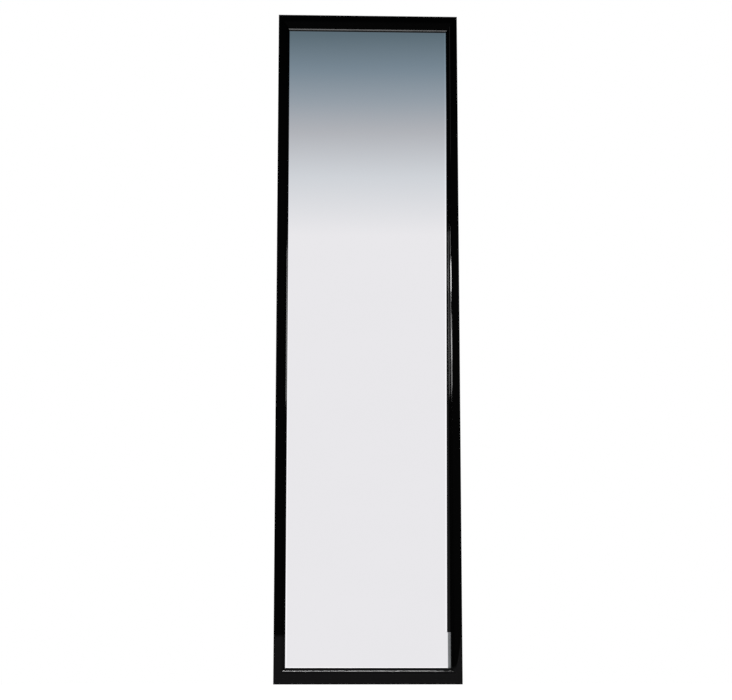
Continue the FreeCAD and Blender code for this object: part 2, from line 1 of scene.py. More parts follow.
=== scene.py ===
# %% [markdown]
# # A pull-out closet mirror
# A tall mirror in a glossy black frame hangs on a steel carriage that rolls out of a closet on two
# ball-bearing slides. Out in the open it turns about two pivots at its leading edge.
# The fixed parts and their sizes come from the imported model. Every length here is in metres, +X is
# the way the mirror pulls out, the mirror faces -Y, and +Z is up.

# %% Load the fixed frame
import math
import bmesh
import bpy
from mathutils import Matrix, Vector


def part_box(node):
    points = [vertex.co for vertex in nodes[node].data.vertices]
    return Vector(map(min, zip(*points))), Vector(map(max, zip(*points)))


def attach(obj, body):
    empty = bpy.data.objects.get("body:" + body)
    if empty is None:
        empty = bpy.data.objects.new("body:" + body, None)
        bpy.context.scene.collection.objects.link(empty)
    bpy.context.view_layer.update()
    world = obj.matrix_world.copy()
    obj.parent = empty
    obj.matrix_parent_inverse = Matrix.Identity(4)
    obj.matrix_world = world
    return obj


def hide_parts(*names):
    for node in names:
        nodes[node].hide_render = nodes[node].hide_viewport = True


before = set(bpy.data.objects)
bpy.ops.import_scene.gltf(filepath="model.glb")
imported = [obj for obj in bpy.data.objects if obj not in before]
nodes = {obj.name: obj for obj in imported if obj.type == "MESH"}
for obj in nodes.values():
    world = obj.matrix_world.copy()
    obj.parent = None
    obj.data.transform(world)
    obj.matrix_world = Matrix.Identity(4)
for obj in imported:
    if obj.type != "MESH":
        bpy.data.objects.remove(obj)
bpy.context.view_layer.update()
mm = 0.001

# %% [markdown]
# ## Viewpoint
# The viewer stands a little left of the mirror's middle and low down, looking slightly up, so the
# frame looks wider at its foot. A long lens keeps the sides nearly straight. The direction is
# written as two angles, because they are easier to adjust than a rotation.

# %% Camera
eye = Vector((-0.1144, -3.2282, -0.5628))
look_right, look_up = math.radians(1.992), math.radians(9.687)
lens, sensor = 88.52, 36.0

forward = Vector((math.sin(look_right) * math.cos(look_up), math.cos(look_right) * math.cos(look_up),
                  math.sin(look_up)))
camera = bpy.data.objects.new("camera", bpy.data.cameras.new("camera"))
camera.location = eye
camera.rotation_mode = "QUATERNION"
camera.rotation_quaternion = forward.to_track_quat("-Z", "Y")
camera.data.lens = lens
camera.data.sensor_width = sensor
camera.data.clip_start, camera.data.clip_end = 0.05, 60.0
bpy.context.scene.collection.objects.link(camera)
bpy.context.scene.camera = camera
bpy.context.scene.view_settings.view_transform = "Standard"
print("camera at", [round(value, 3) for value in eye])

# %% [markdown]
# ## Writing node trees as code
# Materials, the studio's world and Geometry Nodes are all node trees. One small function adds a
# node, sets its options, and plugs either a value or another node's output into each input, so a
# tree reads from its first node to its last.

# %% Node helper
def add(tree, kind, inputs=None, **settings):
    node = tree.nodes.new(kind)
    for key, value in settings.items():
        setattr(node, key, value)
    for key, value in (inputs or {}).items():
        if isinstance(value, bpy.types.NodeSocket):
            tree.links.new(value, node.inputs[key])
        else:
            node.inputs[key].default_value = value
    return node


def ramp(tree, factor, stops):
    """A colour ramp: stops are (position, colour), at most a handful."""
    node = add(tree, "ShaderNodeValToRGB", {"Fac": factor})
    line = node.color_ramp.elements
    while len(line) < len(stops):
        line.new(0.5)
    for element, (position, colour) in zip(line, stops):
        element.position = position
        element.color = (*colour, 1.0)
    return node.outputs["Color"]


def graded(tree, value, low, high, start=0.35, end=0.65):
    """Stretch a pattern's value to run from one number to another."""
    limits = {"Value": value, "From Min": start, "From Max": end, "To Min": low, "To Max": high}
    return add(tree, "ShaderNodeMapRange", limits).outputs[0]


def maths(tree, operation, first, second=0.0, third=0.0):
    return add(tree, "ShaderNodeMath", {0: first, 1: second, 2: third}, operation=operation).outputs[0]


def blend(tree, factor, first, second):
    """One shader where the factor is 0, the other where it is 1."""
    return add(tree, "ShaderNodeMixShader", {0: factor, 1: first, 2: second}).outputs[0]


print("node helpers ready")

# %% [markdown]
# ## The studio
# A mirror has no colour of its own: it shows the room. So the room in front of it is the finish
# that matters most. It is white up to eye level, fades to slate blue towards the ceiling, and is
# darker at the far sides, which keeps the black frame black. Only reflections and clear glass see
# that room. The camera sees white, and all other light is a plain even white, so colours look as
# written.

# %% World
white_wall = 0.937
wall_fade = [                      # sine of the height angle, and the wall's colour there
    (0.231, (1.0, 1.0, 1.0)),
    (0.262, (0.768, 0.806, 0.828)),
    (0.286, (0.533, 0.555, 0.578)),
    (0.302, (0.362, 0.422, 0.468)),
    (0.318, (0.229, 0.303, 0.355)),
    (0.337, (0.124, 0.178, 0.208)),
    (0.600, (0.118, 0.158, 0.185)),
    (1.000, (0.360, 0.380, 0.400)),
]
plain_light = 0.70
side_fall = (0.45, 1.03, 0.30, 0.93)   # brightness behind and ahead, and where it rises between


def studio_world():
    world = bpy.data.worlds.new("studio")
    world.use_nodes = True
    tree = world.node_tree
    tree.nodes.clear()
    way = add(tree, "ShaderNodeTexCoord").outputs["Generated"]
    x, y, z = add(tree, "ShaderNodeSeparateXYZ", {"Vector": way}).outputs
    squares = maths(tree, "ADD", maths(tree, "MULTIPLY", x, x), maths(tree, "MULTIPLY", y, y))
    level = maths(tree, "MAXIMUM", maths(tree, "SQRT", squares), 0.001)
    facing = maths(tree, "DIVIDE", maths(tree, "MULTIPLY", y, -1.0), level)
    strength = maths(tree, "MULTIPLY", graded(tree, facing, *side_fall), white_wall)
    room = add(tree, "ShaderNodeBackground", {"Color": ramp(tree, z, wall_fade), "Strength": strength})
    white = add(tree, "ShaderNodeBackground", {"Color": (1, 1, 1, 1), "Strength": 1.0})
    plain = add(tree, "ShaderNodeBackground", {"Color": (1, 1, 1, 1), "Strength": plain_light})
    path = add(tree, "ShaderNodeLightPath").outputs
    bounced = maths(tree, "MAXIMUM", path["Is Glossy Ray"], path["Is Transmission Ray"])
    shown = blend(tree, bounced, plain.outputs[0], room.outputs[0])
    seen = blend(tree, path["Is Camera Ray"], shown, white.outputs[0])
    add(tree, "ShaderNodeOutputWorld", {"Surface": seen})
    return world


bpy.context.scene.world = studio_world()
print("world made, plain light", plain_light)

# %% [markdown]
# The floor is a plain pale sheet some way under the mirror, which hangs on a closet's side. The
# floor keeps the soft shadow of the mirror, and a little light of its own lifts it to the white of
# the background. Reflections see it as white as the wall in front, so the mirror shows no seam
# there, and greyer behind, where it would wash out the bare steel. Right under the mirror its
# mirrored light is a little stronger, which draws the bevel along the bottom.

# %% Floor
floor_level = -0.74
floor_radius = 9.0
floor_tone = (0.86, 0.86, 0.86, 1)
floor_lift, lift_reach = (0.22, 0.46), (0.9, 2.6)     # light added near the mirror and far away
mirrored_gain, gain_reach = 1.09, (0.8, 2.0)          # mirrored brightness near and far


def floor_finish():
    material = bpy.data.materials.new("pale_floor")
    material.use_nodes = True
    tree = material.node_tree
    tree.nodes.clear()
    place = add(tree, "ShaderNodeTexCoord").outputs["Object"]
    level = add(tree, "ShaderNodeVectorMath", {0: place, 1: (1, 1, 0)}, operation="MULTIPLY").outputs[0]
    away = add(tree, "ShaderNodeVectorMath", {0: level}, operation="LENGTH").outputs["Value"]
    way = add(tree, "ShaderNodeVectorMath", {0: level}, operation="NORMALIZE").outputs[0]
    facing = add(tree, "ShaderNodeVectorMath", {0: way, 1: (0, -1, 0)}, operation="DOT_PRODUCT")
    matt = add(tree, "ShaderNodeBsdfDiffuse", {"Color": floor_tone})
    lift = graded(tree, away, *floor_lift, *lift_reach)
    glow = add(tree, "ShaderNodeEmission", {"Color": (1, 1, 1, 1), "Strength": lift})
    nearby = graded(tree, away, mirrored_gain * white_wall, white_wall, *gain_reach)
    glare = maths(tree, "MULTIPLY", graded(tree, facing.outputs["Value"], *side_fall), nearby)
    mirrored = add(tree, "ShaderNodeEmission", {"Color": (1, 1, 1, 1), "Strength": glare})
    lifted = add(tree, "ShaderNodeAddShader", {0: matt.outputs[0], 1: glow.outputs[0]})
    path = add(tree, "ShaderNodeLightPath").outputs
    bounced = maths(tree, "MAXIMUM", path["Is Glossy Ray"], path["Is Transmission Ray"])
    seen = blend(tree, path["Is Camera Ray"], matt.outputs[0], lifted.outputs[0])
    whole = blend(tree, bounced, seen, mirrored.outputs[0])
    add(tree, "ShaderNodeOutputMaterial", {"Surface": whole})
    return material


sheet = bmesh.new()
bmesh.ops.create_circle(sheet, cap_ends=True, segments=96, radius=floor_radius)
bmesh.ops.translate(sheet, vec=(0, 0, floor_level), verts=sheet.verts)
floor = bpy.data.objects.new("floor", bpy.data.meshes.new("floor"))
sheet.to_mesh(floor.data)
sheet.free()
floor.data.materials.append(floor_finish())
bpy.context.scene.collection.objects.link(floor)
print("floor", round(floor_level / mm), "mm below the middle of the mirror")

# %% [markdown]
# ## Finishes
# Each finish is a Principled shader whose colour, roughness or bump varies with noise in object
# space, at the scale of the real surface. What is the same all over stays on the shader's socket.

# %% Finish helpers
def new_finish(name, sockets):
    material = bpy.data.materials.new(name)
    material.use_nodes = True
    shader = material.node_tree.nodes["Principled BSDF"]
    for key, value in sockets.items():
        shader.inputs[key].default_value = value
    return material, material.node_tree, shader


def grain(tree, scale, stretch=(1, 1, 1), detail=3.0):
    """Noise in object space, stretched along the surface where a finish has a direction."""
    place = add(tree, "ShaderNodeTexCoord").outputs["Object"]
    laid = add(tree, "ShaderNodeMapping", {"Vector": place, "Scale": stretch}).outputs[0]
    return add(tree, "ShaderNodeTexNoise", {"Vector": laid, "Scale": scale, "Detail": detail}).outputs[0]


def dress_shader(tree, shader, colour=None, roughness=None, height=None, depth=0.0):
    if colour is not None:
        tree.links.new(colour, shader.inputs["Base Color"])
    if roughness is not None:
        tree.links.new(roughness, shader.inputs["Roughness"])
    if height is not None:
        relief = add(tree, "ShaderNodeBump", {"Height": height, "Distance": depth, "Strength": 1.0})
        tree.links.new(relief.outputs[0], shader.inputs["Normal"])


print("finish helpers ready")

# %% [markdown]
# Piano black lacquer: nearly black, with the long shallow ripple that spraying leaves. Low on the
# stiles and the bottom rail its colour is lifted a little, with a ragged edge: a painted reflection of
# the pale floor. The sides and back only have the matt coat beneath it, as on most mouldings: sprayed,
# but not polished.

# %% Gloss black lacquer
# painted reflection: the foot of the frame is made lighter, as if it mirrored the pale floor
reflection_start, reflection_edge = -0.527, 0.006       # where the painted floor reflection starts, and over what height it fades in
reflection_sag = 0.0536                           # how much lower it starts between the stiles
leading_sag, far_sag = (0.1518, 0.1625), (-0.145, -0.130)


def gloss_black():
    material, tree, shader = new_finish("gloss_black", {"Specular IOR Level": 0.016})
    place = add(tree, "ShaderNodeTexCoord").outputs["Object"]
    x, _, z = add(tree, "ShaderNodeSeparateXYZ", {"Vector": place}).outputs
    outwards = graded(tree, x, 0.0, 1.0, *leading_sag)
    sag = graded(tree, maths(tree, "MULTIPLY", outwards, outwards), reflection_sag, 0.0, 0.0, 1.0)
    height = maths(tree, "MULTIPLY_ADD", sag, graded(tree, x, 0.0, 1.0, *far_sag), z)
    ragged = maths(tree, "MULTIPLY_ADD", grain(tree, 30.0), reflection_edge, height)
    floor_reflection = graded(tree, ragged, 0.0, 1.0, reflection_start + reflection_edge, reflection_start)
    # painted reflection of the floor: the black is lifted low on the frame
    colour = ramp(tree, floor_reflection, [(0.0, (0.0004, 0.0004, 0.0004)), (1.0, (0.0072, 0.0070, 0.0074))])
    gloss = graded(tree, grain(tree, 60.0), 0.035, 0.075)
    dress_shader(tree, shader, colour, gloss, grain(tree, 38.0, detail=1.0), 0.00002)
    return material


def matt_black():
    material, tree, shader = new_finish("matt_black_coat", {"Specular IOR Level": 0.01})
    peel = grain(tree, 900.0, detail=2.0)
    colour = ramp(tree, grain(tree, 16.0), [(0.3, (0.009, 0.009, 0.009)), (0.7, (0.015, 0.015, 0.016))])
    dress_shader(tree, shader, colour, graded(tree, peel, 0.42, 0.55), peel, 0.00004)
    return material


lacquer, back_coat = gloss_black(), matt_black()
print("made", lacquer.name, "and", back_coat.name)

# %% [markdown]
# The mirror is silvered float glass. Its flat is almost perfectly smooth, with the faintest wiping
# marks. The bevel's tilt catches a thin line of light, and its silver is also painted brighter than
# the flat's as a painted highlight. The wedge beside the lip is painted dark as painted shade from the
# rebate, the ground edge is green, and the back is grey paint.

# %% Mirror glass
wiping_marks = 0.994                # how much of its brightness wiped glass keeps


def silvered(name, colour):
    material, tree, shader = new_finish(name, {"Metallic": 1.0})
    wiped = grain(tree, 6.0, (1, 1, 3))
    marked = tuple(channel * wiping_marks for channel in colour)
    silver = ramp(tree, wiped, [(0.3, marked), (0.7, colour)])
    dress_shader(tree, shader, silver, graded(tree, wiped, 0.0, 0.006))
    return material


# painted shade: the near black that the frame's rebate throws into the wedge of bevel beside the lip
def rebate_shade():
    material, tree, shader = new_finish("rebate_shade", {"Specular IOR Level": 0.1})
    smear = grain(tree, 300.0)
    colour = ramp(tree, smear, [(0.3, (0.0010, 0.0010, 0.0010)), (0.7, (0.0022, 0.0022, 0.0024))])
    dress_shader(tree, shader, colour, graded(tree, smear, 0.10, 0.18))
    return material


def ground_edge():
    material, tree, shader = new_finish("ground_edge", {})
    ground = grain(tree, 900.0)
    colour = ramp(tree, ground, [(0.3, (0.20, 0.36, 0.31)), (0.7, (0.30, 0.48, 0.42))])
    dress_shader(tree, shader, colour, graded(tree, ground, 0.25, 0.5), ground, 0.00003)
    return material


def back_paint():
    material, tree, shader = new_finish("mirror_back_paint", {})
    brushed = grain(tree, 120.0, (1, 1, 0.2))
    colour = ramp(tree, brushed, [(0.3, (0.20, 0.21, 0.22)), (0.7, (0.26, 0.27, 0.28))])
    dress_shader(tree, shader, colour, graded(tree, brushed, 0.45, 0.6))
    return material


glass_finishes = [silvered("silvered_flat", (0.845, 0.836, 0.861)),
                  # painted highlight: the same silver as the flat, made brighter on the bevel
                  silvered("bevel_painted_highlight", (0.981, 0.971, 1.0)),
                  rebate_shade(), ground_edge(), back_paint()]
flat_face, bevel_face, wedge_face, edge_face, back_face = range(len(glass_finishes))
print("made", [material.name for material in glass_finishes])

# %% [markdown]
# Steel comes in six finishes here. Zinc-plated slide steel has fine rolling lines along X and a
# faint bluish bloom, and the strip of the ball retainers is duller. Powder coat is a satin skin
# with an even orange peel. Fasteners are brighter zinc, balls are polished under a film of grease,
# and disc springs are dark with phosphate.

# %% Steel finishes
def metal(name, dark, light, rough, scale, stretch=(1, 1, 1), depth=0.000004):
    material, tree, shader = new_finish(name, {"Metallic": 1.0})
    lines = grain(tree, scale, stretch)
    bloom = grain(tree, 22.0)
    mixed = maths(tree, "MULTIPLY_ADD", lines, 0.5, bloom)
    colour = ramp(tree, graded(tree, mixed, 0.0, 1.0, 0.55, 0.95), [(0.0, dark), (1.0, light)])
    dress_shader(tree, shader, colour, graded(tree, lines, *rough), lines, depth)
    return material


def powder_coat():
    material, tree, shader = new_finish("black_powder_coat", {"Specular IOR Level": 0.45})
    peel = grain(tree, 1300.0, detail=1.5)
    cloud = grain(tree, 14.0)
    colour = ramp(tree, cloud, [(0.3, (0.015, 0.015, 0.016)), (0.7, (0.024, 0.024, 0.026))])
    dress_shader(tree, shader, colour, graded(tree, peel, 0.36, 0.52), peel, 0.00004)
    return material


rolled = (0.04, 1, 1)
zinc = metal("zinc_steel", (0.47, 0.49, 0.52), (0.58, 0.60, 0.62), (0.20, 0.32), 700.0, rolled, 0.000002)
strip_steel = metal("retainer_strip", (0.40, 0.41, 0.42), (0.50, 0.51, 0.52), (0.28, 0.42), 700.0,
                    rolled)
bearing = metal("greased_balls", (0.66, 0.64, 0.58), (0.84, 0.84, 0.83), (0.06, 0.18), 300.0)
bright = metal("bright_fasteners", (0.48, 0.50, 0.53), (0.70, 0.71, 0.73), (0.18, 0.34), 1500.0)
phosphate = metal("phosphated_spring", (0.10, 0.10, 0.11), (0.20, 0.20, 0.21), (0.38, 0.55), 1800.0)
coat = powder_coat()
print("made", [m.name for m in (zinc, strip_steel, bearing, bright, phosphate, coat)])

# %% [markdown]
# The rest are moulded and pressed goods: black rubber with a matt bloom, milky nylon, hardboard
# whose painted face still shows its fibres, white foam with open cells, and a grey safety film.

# %% Plastics, rubber and board
def matt(name, dark, light, rough, scale, depth, stretch=(1, 1, 1), sockets=None):
    material, tree, shader = new_finish(name, sockets or {})
    texture = grain(tree, scale, stretch)
    tint = ramp(tree, grain(tree, scale / 30.0), [(0.3, dark), (0.7, light)])
    dress_shader(tree, shader, tint, graded(tree, texture, *rough), texture, depth)
    return material


rubber = matt("black_rubber", (0.022, 0.022, 0.022), (0.036, 0.035, 0.034), (0.62, 0.82), 1600.0,
              0.00004)
nylon = matt("natural_nylon", (0.66, 0.65, 0.60), (0.78, 0.77, 0.73), (0.32, 0.46), 900.0, 0.00001,
             sockets={"Subsurface Weight": 0.1, "Subsurface Scale": 0.001})
board = matt("painted_hardboard", (0.047, 0.041, 0.036), (0.061, 0.053, 0.046), (0.5, 0.78), 420.0,
             0.00006, (1, 1, 0.25))
foam = matt("white_foam", (0.80, 0.80, 0.79), (0.88, 0.88, 0.87), (0.8, 0.95), 1400.0, 0.00012)
film = matt("grey_film", (0.31, 0.34, 0.36), (0.38, 0.41, 0.43), (0.3, 0.45), 300.0, 0.00001)
print("made", [m.name for m in (rubber, nylon, board, foam, film)])

# %% [markdown]
# ## Turning meshes into pieces
# Whatever makes a mesh, the piece ends the same way: its modifiers are settled into a plain mesh,
# broad faces keep flat shading and rounds stay smooth, it rides on its body, and it stands for the
# nodes it replaces.

# %% Piece helpers
crease = math.radians(32)


def linked(name, mesh):
    piece = bpy.data.objects.new(name, mesh)
    bpy.context.scene.collection.objects.link(piece)
    return piece


def settle(piece):
    """Work the modifiers into the mesh and remove them."""
    graph = bpy.context.evaluated_depsgraph_get()
    mesh = bpy.data.meshes.new_from_object(piece.evaluated_get(graph), preserve_all_data_layers=True,
                                           depsgraph=graph)
    piece.modifiers.clear()
    piece.data = mesh
    return piece


def shade(piece):
    """Faces point outwards, corners stay crisp and broad faces keep their own normals."""
    work = bmesh.new()
    work.from_mesh(piece.data)
    bmesh.ops.recalc_face_normals(work, faces=work.faces)
    work.to_mesh(piece.data)
    work.free()
    piece.data.shade_smooth()
    piece.data.set_sharp_from_angle(angle=crease)
    weigh = piece.modifiers.new("even", "WEIGHTED_NORMAL")
    weigh.keep_sharp = True
    return settle(piece)


def place_piece(piece, body, slot, *stands_for):
    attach(piece, body)
    if stands_for:
        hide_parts(*stands_for)
    print(piece.name, "rides on", body, "with", len(piece.data.polygons), "faces")
    return piece


# %% [markdown]
# ## The frame
# The frame is four lengths of one moulding with mitred corners. That is a rule: a section swept
# along a line, whose ends are pulled back the further a point lies from the outer edge. So a
# Geometry Nodes tree makes all four bars from their section. The section has the flat face with
# its soft outer edge, the slope down to the glass, the lip, and the rebates at the back.

# %% Sizes of the moulding
stile_low, stile_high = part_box("frame_leading_stile")
rail_low, rail_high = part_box("frame_top_rail")
half_width, half_height = stile_high.x, stile_high.z
stile_width, rail_width = stile_high.x - stile_low.x, rail_high.z - rail_low.z
frame_back, frame_depth = stile_high.y, stile_high.y - stile_low.y
edge_round, edge_drop = 1.6 * mm, 0.35 * mm
crown_share, slope_start_share, slope_end_share = 0.41, 0.64, 0.88
slope_start_drop, slope_end_drop, slope_bulge = 0.3 * mm, 4.4 * mm, 0.113
lip_step, lip_rise, lip_round = 0.9 * mm, 0.35 * mm, 0.5 * mm
glass_rebate, board_rebate = 6 * mm, 11 * mm
glass_level = frame_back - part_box("mirror_glass")[0].y
board_level = frame_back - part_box("backing_board")[0].y
arris = 0.4 * mm
arc_steps = 10
print("stile", round(stile_width / mm, 1), "rail", round(rail_width / mm, 1),
      "depth", round(frame_depth / mm, 1))

# %% [markdown]
# The section is drawn once round, starting at the back. Its rounds are arcs through three points. A
# rail is wider than a stile, so its section is the stile's, stretched: the lines of both then meet
# at the mitre.

# %% Section of the moulding
def arc(start, through, end):
    """Points along the circular arc through three points, leaving out its end."""
    (ax, ay), (bx, by), (cx, cy) = start, through, end
    d = 2 * (ax * (by - cy) + bx * (cy - ay) + cx * (ay - by))
    a2, b2, c2 = ax * ax + ay * ay, bx * bx + by * by, cx * cx + cy * cy
    middle = ((a2 * (by - cy) + b2 * (cy - ay) + c2 * (ay - by)) / d,
              (a2 * (cx - bx) + b2 * (ax - cx) + c2 * (bx - ax)) / d)
    first = math.atan2(ay - middle[1], ax - middle[0])
    turn = math.atan2(cy - middle[1], cx - middle[0]) - first
    turn = (turn + math.pi) % (2 * math.pi) - math.pi
    reach = math.dist(start, middle)
    angles = [first + turn * step / arc_steps for step in range(arc_steps)]
    return [(middle[0] + reach * math.cos(t), middle[1] + reach * math.sin(t)) for t in angles]


def moulding_section(width):
    """u runs from the outer side to the glass, v from the back to the face."""
    widen = width / stile_width
    round_u, quarter = edge_round * widen, 1 - math.sqrt(0.5)
    corner_v = frame_depth - edge_drop
    slope_start = (slope_start_share * width, frame_depth - slope_start_drop)
    slope_end = (slope_end_share * width, frame_depth - slope_end_drop)
    run, fall = slope_end[0] - slope_start[0], slope_end_drop - slope_start_drop
    slope_middle = ((slope_start[0] + slope_end[0]) / 2 + slope_bulge * fall * widen,
                    (slope_start[1] + slope_end[1]) / 2 + slope_bulge * run / widen)
    lip_top = slope_end[1] - lip_step
    points = [(arris, 0), (width - board_rebate, 0), (width - board_rebate, board_level),
              (width - glass_rebate, board_level), (width - glass_rebate, glass_level),
              (width, glass_level)]
    points += arc((width, lip_top - lip_round),
                  (width - lip_round * quarter, lip_top - lip_round * quarter),
                  (width - lip_round, lip_top))
    points += [(width - lip_round, lip_top), (slope_end[0], lip_top - lip_rise)]
    points += arc(slope_end, slope_middle, slope_start)
    points += arc(slope_start, (crown_share * width, frame_depth), (round_u, corner_v))
    points += arc((round_u, corner_v), (round_u * quarter, corner_v - edge_round * quarter),
                  (0, corner_v - edge_round))
    points += [(0, corner_v - edge_round), (0, arris)]
    return [(u, min(v, frame_depth)) for u, v in points]


def section_mesh(points):
    mesh = bpy.data.meshes.new("section")
    count = len(points)
    mesh.from_pydata([(u, v, 0) for u, v in points], [(i, (i + 1) % count) for i in range(count)], [])
    return mesh


print("section points:", len(moulding_section(stile_width)))

# %% [markdown]
# The tree sweeps the section between -1 and +1 along Z. A point's height then becomes the bar's
# half length, less the mitre's slope times its distance from the outer edge. Last, the bar is laid
# along Z for a stile or along X for a rail, on the side that it belongs to.

# %% Geometry Nodes tree of a mitred bar
def new_tree(name, sockets):
    tree = bpy.data.node_groups.new(name, "GeometryNodeTree")
    tree.is_modifier = True
    tree.interface.new_socket("Geometry", in_out="INPUT", socket_type="NodeSocketGeometry")
    for label, kind in sockets.items():
        tree.interface.new_socket(label, in_out="INPUT", socket_type="NodeSocket" + kind)
    tree.interface.new_socket("Geometry", in_out="OUTPUT", socket_type="NodeSocketGeometry")
    return tree, add(tree, "NodeGroupInput").outputs


def close_tree(tree, geometry, material):
    real = add(tree, "GeometryNodeRealizeInstances", {0: geometry})
    painted = add(tree, "GeometryNodeSetMaterial", {"Geometry": real.outputs[0], "Material": material})
    add(tree, "NodeGroupOutput", {0: painted.outputs[0]})
    return tree


def mitred_bar():
    tree, given = new_tree("mitred_bar", {"Half Length": "Float", "Mitre": "Float", "Reach": "Float",
                                          "Back": "Float", "Side": "Float", "Lying": "Bool",
                                          "Material": "Material"})
    outline = add(tree, "GeometryNodeMeshToCurve", {"Mesh": given["Geometry"]})
    line = add(tree, "GeometryNodeCurvePrimitiveLine", {"Start": (0, 0, -1), "End": (0, 0, 1)})
    bar = add(tree, "GeometryNodeCurveToMesh", {"Curve": line.outputs[0],
                                                "Profile Curve": outline.outputs[0],
                                                "Fill Caps": True})
    point = add(tree, "GeometryNodeInputPosition").outputs[0]
    u, v, end = add(tree, "ShaderNodeSeparateXYZ", {0: point}).outputs
    shorter = maths(tree, "MULTIPLY", u, given["Mitre"])
    length = maths(tree, "MULTIPLY", end, maths(tree, "SUBTRACT", given["Half Length"], shorter))
    across = maths(tree, "MULTIPLY", given["Side"], maths(tree, "SUBTRACT", given["Reach"], u))
    depth = maths(tree, "SUBTRACT", given["Back"], v)
    upright = add(tree, "ShaderNodeCombineXYZ", {"X": across, "Y": depth, "Z": length}).outputs[0]
    lying = add(tree, "ShaderNodeCombineXYZ", {"X": length, "Y": depth, "Z": across}).outputs[0]
    laid = add(tree, "GeometryNodeSwitch", {"Switch": given["Lying"], "False": upright, "True": lying},
               input_type="VECTOR")
    placed = add(tree, "GeometryNodeSetPosition",
                 {"Geometry": bar.outputs[0], "Position": laid.outputs[0]})
    return close_tree(tree, placed.outputs[0], given["Material"])


def grow(name, mesh, tree, sizes):
    """Run a tree on a mesh and keep the result as a plain mesh."""
    piece = linked(name, mesh)
    modifier = piece.modifiers.new("grow", "NODES")
    modifier.node_group = tree
    for item in tree.interface.items_tree:
        if item.in_out == "INPUT" and item.name in sizes:
            modifier[item.identifier] = sizes[item.name]
    return settle(piece)


bar_tree = mitred_bar()
print("tree", bar_tree.name, "with", len(bar_tree.nodes), "nodes")

# %% [markdown]
# Four steel braces are let into the back of the frame across its joints. Their pockets are cut
# with a boolean, a hair wider than the plates, so that a fine seam shows round each plate. The
# cutter is an L at each corner, drawn just above the back and pushed down to the plate's bed.

# %% Brace pockets
brace_arm, brace_width, brace_margin = 45 * mm, 7 * mm, 1.2 * mm
pocket_play, cutter_proud = 0.08 * mm, 1 * mm


def brace_pockets():
    work = bmesh.new()
    top, bed = frame_back + cutter_proud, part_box("corner_braces")[0].y
    for side_x in (1, -1):
        for side_z in (1, -1):
            x0, z0 = half_width - brace_margin + pocket_play, half_height - brace_margin + pocket_play
            x1, z1 = x0 - brace_width - 2 * pocket_play, z0 - brace_width - 2 * pocket_play
            x2, z2 = x0 - brace_arm - 2 * pocket_play, z0 - brace_arm - 2 * pocket_play
            ring = [(x0, z0), (x2, z0), (x2, z1), (x1, z1), (x1, z2), (x0, z2)]
            face = work.faces.new([work.verts.new((x * side_x, top, z * side_z)) for x, z in ring])
            drop = bmesh.ops.extrude_face_region(work, geom=[face])
            moved = [item for item in drop["geom"] if isinstance(item, bmesh.types.BMVert)]
            bmesh.ops.translate(work, vec=(0, bed - top, 0), verts=moved)
    bmesh.ops.recalc_face_normals(work, faces=work.faces)
    mesh = bpy.data.meshes.new("pockets")
    work.to_mesh(mesh)
    work.free()
    return linked("pockets", mesh)


pockets = brace_pockets()
print("cutter for four brace pockets, faces:", len(pockets.data.polygons))

# %% [markdown]
# Each bar is grown from its section and cut by the pockets. Its back and its outer side get the
# matt coat, and everything else the gloss.

# %% Bars
bars = [("leading_stile", "frame_leading_stile", 1, False),
        ("trailing_stile", "frame_trailing_stile", -1, False),
        ("top_rail", "frame_top_rail", 1, True),
        ("bottom_rail", "frame_bottom_rail", -1, True)]
for name, node, side, lying in bars:
    width = rail_width if lying else stile_width
    reach, half_length = (half_height, half_width) if lying else (half_width, half_height)
    mitre = stile_width / rail_width if lying else rail_width / stile_width
    bar = grow(name, section_mesh(moulding_section(width)), bar_tree,
               {"Half Length": half_length, "Mitre": mitre, "Reach": reach, "Back": frame_back,
                "Side": float(side), "Lying": lying, "Material": lacquer})
    cut = bar.modifiers.new("pockets", "BOOLEAN")
    cut.object, cut.operation, cut.solver = pockets, "DIFFERENCE", "EXACT"
    settle(bar)
    bar.data.materials.append(back_coat)
    outwards = Vector((0, 0, side)) if lying else Vector((side, 0, 0))
    for face in bar.data.polygons:
        looks_back = face.normal.y > 0.5
        looks_out = face.normal.dot(outwards) > 0.999
        if looks_back or looks_out:
            face.material_index = 1
    place_piece(shade(bar), "mirror", "gloss_black", node)
bpy.data.objects.remove(pockets)

# %% [markdown]
# ## The mirror
# The glass is one sheet with a bevel ground round its front, wide enough to show inside the frame.
# The bevel runs out of true and widens down both sides. On the leading side a wedge of it next to
# the lip is painted near black, a painted shade where the frame's black rebate darkens it. It ends
# above the foot, where a short strip is painted in the grey of the back paint as a painted dim
# reflection. A few corner points describe the sheet fully, so it is written as rings of points joined
# by faces, with a finish for each of the flat, bevel, wedge, edge and back.

# %% Bevelled mirror
glass_low, glass_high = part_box("mirror_glass")
bevel_drop, arris_drop = 0.32 * mm, 1.0 * mm
# distance of a ring's corners from the sheet's edges: leading top, end of the wedge, below it,
# far foot, far top, top and bottom
bevel_start = [inset * mm for inset in (7.8, 13.7, 11.0, 8.1, 5.5, 7.1)]
bevel_split = [inset * mm for inset in (4.9, 11.3, 10.0, 5.2, 2.6, 4.0)]
wedge_end, step_height = -0.519, 0.5 * mm
# finishes of the faces between two rings, down the leading side, along the foot and back round
facets = [[bevel_face] * 6,
          # the wedge carries painted shade, and the strip below it a painted dim reflection in the
          # back's grey
          [wedge_face, wedge_face, back_face, bevel_face, bevel_face, bevel_face],
          [edge_face] * 6]


def glass_ring(work, insets, depth):
    top, wide, below, far_foot, far_top, ends = insets
    spots = ((glass_high.x - top, glass_high.z - ends), (glass_high.x - wide, wedge_end),
             (glass_high.x - below, wedge_end - step_height), (glass_high.x - below, glass_low.z + ends),
             (glass_low.x + far_foot, glass_low.z + ends), (glass_low.x + far_top, glass_high.z - ends))
    return [work.verts.new((x, depth, z)) for x, z in spots]


